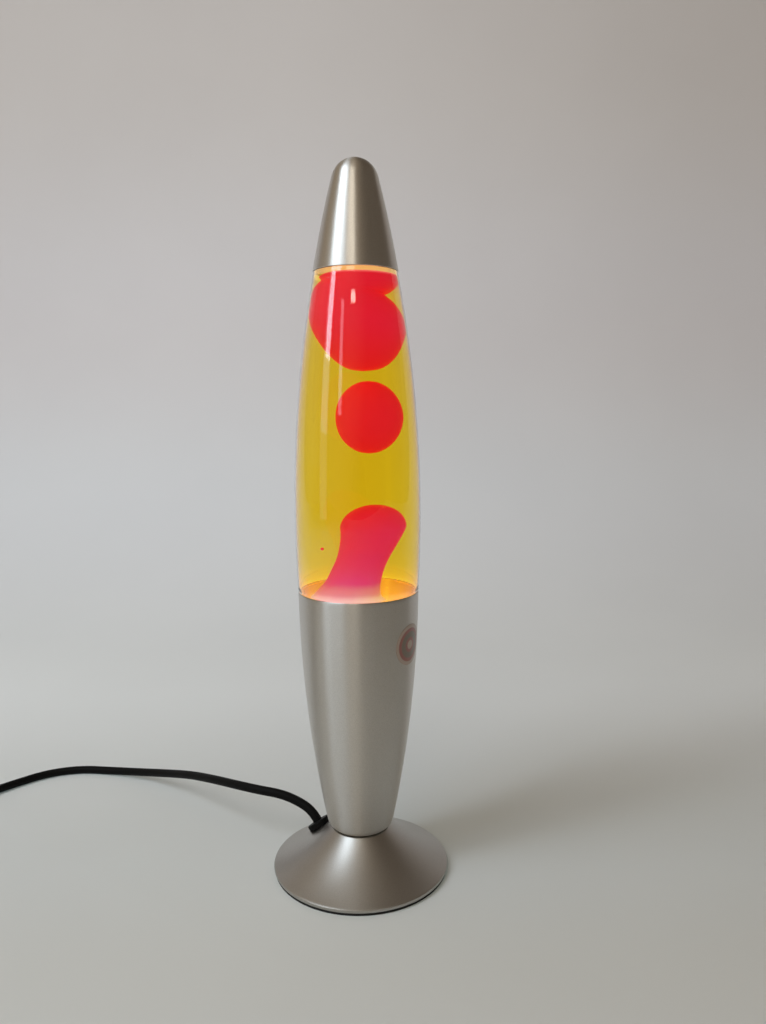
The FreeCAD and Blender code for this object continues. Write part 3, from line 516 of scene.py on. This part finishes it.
def cavity_lines(gap=0.0):
    """Inside of the bottle from its bottom's centre to the neck, set in by gap."""
    wall = seen_wall + gap
    side_low = (29.9 * MM - wall, bottle_low_z + 7.0 * MM)
    inner_low = (shoulder_in[0] - wall, cone_rim_z - 2 * MM)
    start = (shoulder_out[0] - wall - 0.1 * MM, cone_rim_z + 1.6 * MM)
    ledge = (ledge_r - wall - 0.15 * MM, ledge_z - 1 * MM)
    neck = (neck_r - neck_wall - gap, ledge_z + 16.0 * MM)
    lines = [(0, bottle_low_z + 4.2 * MM + gap), (12 * MM, bottle_low_z + 3.8 * MM + gap),
             (20 * MM, bottle_low_z + 3.3 * MM + gap), (24 * MM, bottle_low_z + 3.3 * MM + gap),
             (27 * MM, bottle_low_z + 4.3 * MM + gap), side_low, inner_low, start]
    lines += bow(start, ledge, bottle_bulge, 72)
    return lines + bow(ledge, neck, 2.0 * MM, 14)


def make_bottle(material):
    """Bottle: dished bottom, heel, shoulder on the cone's rim, bowed side, ledge and lipped neck."""
    outline = [(0, bottle_low_z + 2.0 * MM), (10 * MM, bottle_low_z + 1.6 * MM),
               (19 * MM, bottle_low_z + 0.5 * MM), (22 * MM, bottle_low_z), (heel_flat_r, bottle_low_z)]
    outline += sweep((heel_flat_r, bottle_low_z + heel_r), heel_r, -90, 0, 8)[1:]
    outline += bow(outline[-1], shoulder_in, 0.25 * MM, 20)
    outline += [(shoulder_in[0], cone_rim_z + 0.15 * MM), (cone_rim_r - 0.35 * MM, cone_rim_z + 0.15 * MM),
                (cone_rim_r - 0.1 * MM, cone_rim_z + 0.45 * MM), shoulder_out]
    outline += bow(shoulder_out, ledge_out, bottle_bulge, 96)
    outline += [(ledge_r - 0.15 * MM, ledge_z - 0.15 * MM), (ledge_r - 0.5 * MM, ledge_z),
                (ledge_r - 1.2 * MM, ledge_z)]
    outline += bow(outline[-1], (neck_r, ledge_z + 17 * MM), neck_bulge, 16)
    outline += [(neck_r, bottle_top_z - 5.5 * MM), (lip_r, bottle_top_z - 4.8 * MM),
                (lip_r, bottle_top_z - 1.2 * MM), (neck_r, bottle_top_z - 0.3 * MM),
                (neck_r - 1.0 * MM, bottle_top_z), (neck_r - 2.0 * MM, bottle_top_z),
                (neck_r - neck_wall, bottle_top_z - 0.5 * MM)]
    outline += list(reversed(cavity_lines()))
    wear(lathe("bottle_shell", outline), material, "bottle", "glass_bottle")


def make_liquid(material):
    """Liquid: fills the bottle to just inside the glass, up to a flat top in the neck."""
    film, top_r = 0.06 * MM, 11.5 * MM
    outline = [p for p in cavity_lines(film) if p[1] < fill_z] + [(top_r, fill_z), (0, fill_z)]
    wear(lathe("liquid_fill", outline), material, "bottle", "liquid")


# ---------------------------------------------------------------- wax
def inside_r(z):
    """Radius that the wax may fill at height z."""
    lines = cavity_lines(wax_gap)
    for (r0, z0), (r1, z1) in zip(lines, lines[1:]):
        if z0 <= z <= z1 and z1 > z0:
            return r0 + (r1 - r0) * (z - z0) / (z1 - z0)
    raise ValueError(f"no wax fits at {z}")


def spline_through(values, t):
    """Smooth value at t along a list, passing through each entry."""
    i = min(int(t), len(values) - 2)
    f = t - i
    p0, p1, p2, p3 = (values[min(max(k, 0), len(values) - 1)] for k in (i - 1, i, i + 1, i + 2))
    return 0.5 * (2 * p1 + (p2 - p0) * f + (2 * p0 - 5 * p1 + 4 * p2 - p3) * f * f
                  + (3 * p1 - p0 - 3 * p2 + p3) * f ** 3)


def wax_blob(name, levels, material, body, replaced):
    """Smooth blob through level sections in mm, each (left x, right x, z, depth as a share of width, y)."""
    columns, per_level = 96, 6
    verts = []
    rows = (len(levels) - 1) * per_level + 1
    for i in range(rows):
        t = i / per_level
        left, right, z, depth, y = (spline_through([level[k] for level in levels], t) for k in range(5))
        half = max((right - left) / 2, 0.01)
        for j in range(columns):
            a = 2 * math.pi * j / columns
            x_mm, y_mm = (left + right) / 2 + half * math.cos(a), y + half * depth * math.sin(a)
            reach, limit = math.hypot(x_mm, y_mm) * MM, inside_r(z * MM)
            squeeze = min(1.0, limit / max(reach, 1e-9))
            verts.append((x_mm * MM * squeeze, y_mm * MM * squeeze, z * MM))
    faces = grid_faces(rows, columns)
    faces += [tuple(range(columns)), tuple(range((rows - 1) * columns, rows * columns))]
    mesh = bpy.data.meshes.new(name)
    mesh.from_pydata(verts, [], faces)
    wear(finish_mesh(name, mesh, 180), material, body, replaced)


def dome(centre_x, lean, z, half_w, half_h, upward, depth=1.0):
    """Levels of half an ellipsoid, ordered upwards, whose far end leans by lean."""
    levels = []
    for step in range(7):
        a = math.radians(15 * step if upward else 90 - 15 * step)
        half = half_w * math.cos(a)
        middle = centre_x + lean * math.sin(a)
        rise = half_h * math.sin(a) * (1 if upward else -1)
        levels.append((middle - half, middle + half, z + rise, depth, 0))
    return levels


def egg(centre_x, z, half_w, low_h, high_h, low_lean=0, high_lean=0):
    """Levels of a whole ellipsoid whose lower and upper halves may differ in height and lean."""
    return (dome(centre_x, low_lean, z, half_w, low_h, False)[:-1]
            + dome(centre_x, high_lean, z, half_w, high_h, True))


def column_levels():
    """The pool that fills the bottle's foot, and the column that rises from it and leans right."""
    levels = [(-28, 28, 123.6, 1.0, 0), (-29, 29, 130, 1.0, 0), (-30, 30, 140, 1.0, 0),
              (-31, 30, 147, 1.0, 0), (-31, 24, 153, 1.0, -3), (-29.6, 17, 158.5, 1.0, -6),
              (-26.2, 13.4, 163.6, 1.0, -9), (-22.2, 12.4, 168.2, 1.0, -9),
              (-18.2, 12.8, 172.4, 1.0, -6.5), (-15.1, 14.4, 178.2, 0.95, -4),
              (-12.0, 17.6, 185.0, 0.92, -2), (-10.5, 21.6, 191.6, 0.90, -0.7), (-9.9, 25.0, 197.5, 0.90, 0)]
    return levels + dome(8.5, 1.4, 202.0, 18.6, 12.4, True, 0.90)


def top_levels():
    """The round mass under the cap, with a notch at its right where it meets the flat layer above."""
    sides = [(3.0, 4.0, 288.3), (-3.5, 12.0, 289.2), (-8.5, 17.0, 291.5), (-13.0, 21.0, 295.0),
             (-16.8, 23.7, 299.0), (-20.0, 25.6, 303.2), (-22.8, 27.0, 307.8), (-24.6, 27.2, 312.0),
             (-25.6, 25.8, 316.5), (-25.8, 23.4, 320.8), (-25.3, 20.2, 324.9), (-24.6, 16.8, 327.6),
             (-23.9, 15.4, 329.2), (-23.3, 18.6, 330.6), (-22.6, 20.9, 332.2), (-20.9, 22.8, 334.2),
             (-18.9, 23.6, 336.0), (-19.2, 23.8, 337.4), (-19.6, 23.4, 338.2), (-16.0, 20.0, 338.6)]
    widest_z, widest_half, narrowing = 316, 25.7, 0.14
    levels = []
    for left, right, z in sides:
        half = (right - left) / 2
        deep = half if z < widest_z else widest_half - narrowing * (z - widest_z)
        levels.append((left, right, z, deep / half, 0))
    return levels + [(-1.0, 1.0, 338.7, 1.0, 0)]


def make_wax(material):
    """The four pieces of wax: two that cling to the bottle, the free bead and a small drop."""
    bead = egg(6.9, 263.0, 18.8, 19.8, 20.0, -0.3, -0.5)
    drop = egg(-20.4, 189.5, 1.0, 0.8, 0.8)
    wax_blob("wax_rising_column", column_levels(), material, "bottle", "wax_column")
    wax_blob("wax_top_mass", top_levels(), material, "bottle", "wax_top")
    wax_blob("wax_round_bead", bead, material, "wax_bead", "wax_bead")
    wax_blob("wax_small_drop", drop, material, "bottle", "wax_droplet")


# ---------------------------------------------------------------- finish of the CAD nodes that stay
def dress(material, *names):
    """Puts one material on CAD nodes that keep their own shape."""
    for name in names:
        node = nodes[name]
        node.data.materials.clear()
        node.data.materials.append(material)


def dress_nodes():
    """Materials of the nodes that aren't remade here: fittings, bulb, closure, sticker, switch and plug."""
    zinc = metalwork("zinc_steel", (0.60, 0.60, 0.58), 0.34)
    brass = metalwork("contact_brass", (0.72, 0.55, 0.24), 0.30)
    black = moulded("switch_black", (0.012, 0.012, 0.013), 0.42)
    dress(zinc, "threaded_tube", "cover_nut", "ballast_nut", "foot_nut", "cone_nut", "foot_washer",
          "terminal_screws", "switch_screws", "switch_rocker_pin")
    dress(brass, "lampholder_contact", "switch_terminals", "switch_contact")
    dress(metalwork("holder_shell", (0.74, 0.58, 0.28), 0.26), "lampholder_shell")
    dress(moulded("pad_foam", (0.006, 0.006, 0.006), 0.85, 1600, 0.00008, 0.5), "foot_pad_ring")
    dress(moulded("cover_steel", (0.018, 0.018, 0.018), 0.45), "base_cover")
    dress(metalwork("ballast_iron", (0.20, 0.19, 0.18), 0.62, 500), "ballast_disc")
    dress(moulded("holder_plastic", (0.015, 0.013, 0.012), 0.32), "lampholder_base", "lampholder_sleeve")
    dress(moulded("holder_insert", (0.72, 0.69, 0.62), 0.6), "lampholder_insert")
    dress(moulded("lead_brown", (0.10, 0.035, 0.015), 0.45), "lead_live")
    dress(moulded("lead_blue", (0.02, 0.07, 0.28), 0.45), "lead_neutral")
    dress(metalwork("bulb_solder", (0.55, 0.55, 0.53), 0.42), "bulb_tip_contact")
    dress(moulded("bulb_vitrite", (0.01, 0.01, 0.014), 0.12), "bulb_insulator")
    dress(metalwork("bulb_cap_metal", (0.70, 0.62, 0.44), 0.28), "bulb_screw_base")
    dress(thin_glass("bulb_glass", (1.0, 0.96, 0.88), 0.22, 0.6), "bulb_glass")
    dress(metalwork("bulb_mirror", (0.86, 0.86, 0.86), 0.10), "bulb_reflector")
    dress(thin_glass("bulb_inner_glass", (0.96, 1.0, 0.97), 0.0), "bulb_stem")
    dress(metalwork("bulb_wire", (0.4, 0.39, 0.38), 0.35), "bulb_supports", "bulb_filament")
    dress(metalwork("crown_metal", (0.72, 0.70, 0.66), 0.22), "crown_cap")
    dress(moulded("liner", (0.78, 0.78, 0.75), 0.5), "crown_liner")
    dress(metalwork("coil_steel", (0.62, 0.62, 0.61), 0.25), "bottle_coil")
    dress(sticker_film(), "round_sticker")
    relief = moulded("relief_black", (0.003, 0.003, 0.003), 0.50, 1200, Specular_IOR_Level=0.12)
    dress(relief, "strain_relief")
    fabric = moulded("tie_fabric", (0.012, 0.012, 0.012), 0.9, 2400, 0.0002, 0.8, Sheen_Weight=0.4)
    dress(fabric, "cord_tie")
    dress(black, "switch_shell_bottom", "switch_shell_top")
    dress(moulded("rocker_black", (0.02, 0.02, 0.02), 0.22), "switch_rocker")
    dress(moulded("plug_black", (0.010, 0.010, 0.011), 0.5), "plug_body", "plug_pin_sleeves")
    dress(metalwork("pin_nickel", (0.66, 0.65, 0.61), 0.24), "plug_pins")


# ---------------------------------------------------------------- room: sweep, lights and world
def paper():
    """Plain pale paper that gives off a little light, more behind the lamp and less to its right."""
    s = Shader("paper", Roughness=0.9, Specular_IOR_Level=0.1, Emission_Strength=1.0)
    split = s.node("ShaderNodeSeparateXYZ")
    s.join(s.place(), split.inputs[0])
    back_and_up = s.node("ShaderNodeMath", operation="ADD")
    s.join(split.outputs["Y"], back_and_up.inputs[0])
    s.join(split.outputs["Z"], back_and_up.inputs[1])
    along = s.span(back_and_up.outputs[0], 0, 1, -0.1, 2.0)
    tints = [(0.3, (0.630, 0.600, 0.575)), (0.7, (0.664, 0.634, 0.608))]
    s.to("Base Color", s.ramp(s.noise(2.2, 3), tints))
    # The glow is painted light, graded up the sweep and dimmer to the lamp's right.
    glows = [(0.0, (0.04, 0.055, 0.045)), (0.05, (0.05, 0.075, 0.075)), (0.20, (0.17, 0.200, 0.210)),
             (0.49, (0.20, 0.230, 0.260)), (0.73, (0.18, 0.180, 0.200)), (0.93, (0.15, 0.140, 0.140))]
    glow = s.ramp(along, glows)
    fading = s.node("ShaderNodeVectorMath", operation="SCALE")
    s.join(glow, fading.inputs[0])
    s.join(s.span(split.outputs["X"], 1.0, 0.72, -0.15, 0.50), fading.inputs["Scale"])
    s.to("Emission Color", fading.outputs["Vector"])
    s.bump(s.noise(450, 4), 0.08, 0.0003)
    return s.material


def make_backdrop():
    """Pale paper that runs back from under the lamp and curves up behind it."""
    front, wall_y, bend, top, half_w, steps = -1.6, 1.0, 0.55, 1.35, 2.2, 24
    # The points between front and bend keep the floor's shading flat.
    line = [(front, 0.0), (-0.4, 0.0), (0.0, 0.0), (wall_y - bend, 0.0)]
    for step in range(1, steps + 1):
        a = math.radians(90 * step / steps)
        line.append((wall_y - bend + bend * math.sin(a), bend - bend * math.cos(a)))
    line.append((wall_y, top))
    verts = [(x, y, z) for y, z in line for x in (-half_w, half_w)]
    faces = [(2 * i, 2 * i + 1, 2 * i + 3, 2 * i + 2) for i in range(len(line) - 1)]
    mesh = bpy.data.meshes.new("paper_sweep")
    mesh.from_pydata(verts, [], faces)
    for polygon in mesh.polygons:
        polygon.use_smooth = True
    mesh.materials.append(paper())
    link("paper_sweep", mesh)


def panel(name, azimuth, elevation, radiance, colour, mirrored=True, distance=1.3):
    """Area light that fills a range of directions, in degrees, seen from the lamp's middle."""
    middle = Vector((0, 0, 220)) * MM
    a, e = (math.radians(sum(span) / 2) for span in (azimuth, elevation))
    away = Vector((math.cos(a) * math.cos(e), math.sin(a) * math.cos(e), math.sin(e)))
    width, height = (2 * distance * math.tan(math.radians((end - start) / 2))
                     for start, end in (azimuth, elevation))
    data = bpy.data.lights.new(name, "AREA")
    data.shape = "RECTANGLE"
    data.size, data.size_y = width, height
    data.energy = radiance * math.pi * width * height
    data.color = colour
    light = bpy.data.objects.new(name, data)
    light.location = middle + away * distance
    light.rotation_euler = (-away).to_track_quat("-Z", "Y").to_euler()
    light.visible_glossy = mirrored
    bpy.context.scene.collection.objects.link(light)


def light_room():
    """A cool window at the front left, a dim curtain beside it, two small warm lights and a dim room."""
    cool, plain, warm = (0.80, 0.94, 1.08), (0.97, 0.99, 1.0), (1.0, 0.94, 0.83)
    panel("window_high", (200, 226), (34, 60), 4.8, cool)
    panel("window_mid", (201, 215), (6, 34), 1.2, cool)
    panel("window_low", (201, 215), (-8, 6), 0.4, cool)
    panel("window_slit", (236.5, 242.5), (10, 29), 1.8, cool)
    panel("window_day", (204, 214), (18, 34), 12.0, (0.72, 0.88, 1.0), mirrored=False)
    panel("curtain", (178, 201), (0, 50), 0.06, plain)
    panel("far_lamp", (260.5, 269.5), (29.2, 31.2), 8.0, warm)
    panel("far_window", (248, 266), (36, 52), 3.0, warm)
    world = bpy.data.worlds.new("room")
    world.use_nodes = True
    tree = world.node_tree
    background = tree.nodes["Background"]
    place = tree.nodes.new("ShaderNodeTexCoord")
    lean = tree.nodes.new("ShaderNodeVectorMath")
    lean.operation = "DOT_PRODUCT"
    lean.inputs[1].default_value = (-0.60, -0.35, 0.55)
    ramp = tree.nodes.new("ShaderNodeValToRGB")
    stops = ramp.color_ramp.elements
    stops[0].position, stops[0].color = 0.25, (0.120, 0.094, 0.070, 1)
    stops[1].position, stops[1].color = 0.62, (0.34, 0.270, 0.190, 1)
    tree.links.new(place.outputs["Generated"], lean.inputs[0])
    tree.links.new(lean.outputs["Value"], ramp.inputs["Fac"])
    tree.links.new(ramp.outputs["Color"], background.inputs["Color"])
    background.inputs["Strength"].default_value = 1.0
    bpy.context.scene.world = world
    bpy.context.scene.view_settings.view_transform = "Standard"


# ---------------------------------------------------------------- build
make_camera()
rubber = moulded("cord_black", (0.003, 0.003, 0.003), 0.56, 1500, 0.00004, 0.3, Specular_IOR_Level=0.12)
make_cord(rubber)
make_cone(spun_metal("spun_metal_cone", 0.95))
# The foot has the cone's lacquer darkened to 0.72 as painted shade.
make_foot(spun_metal("spun_metal_foot", 0.10, 0.72))
make_cap(spun_metal("spun_metal_cap", 0.80))
make_bottle(clear_glass())
make_liquid(lit_liquid())
make_wax(molten_wax())
dress_nodes()
make_backdrop()
light_room()
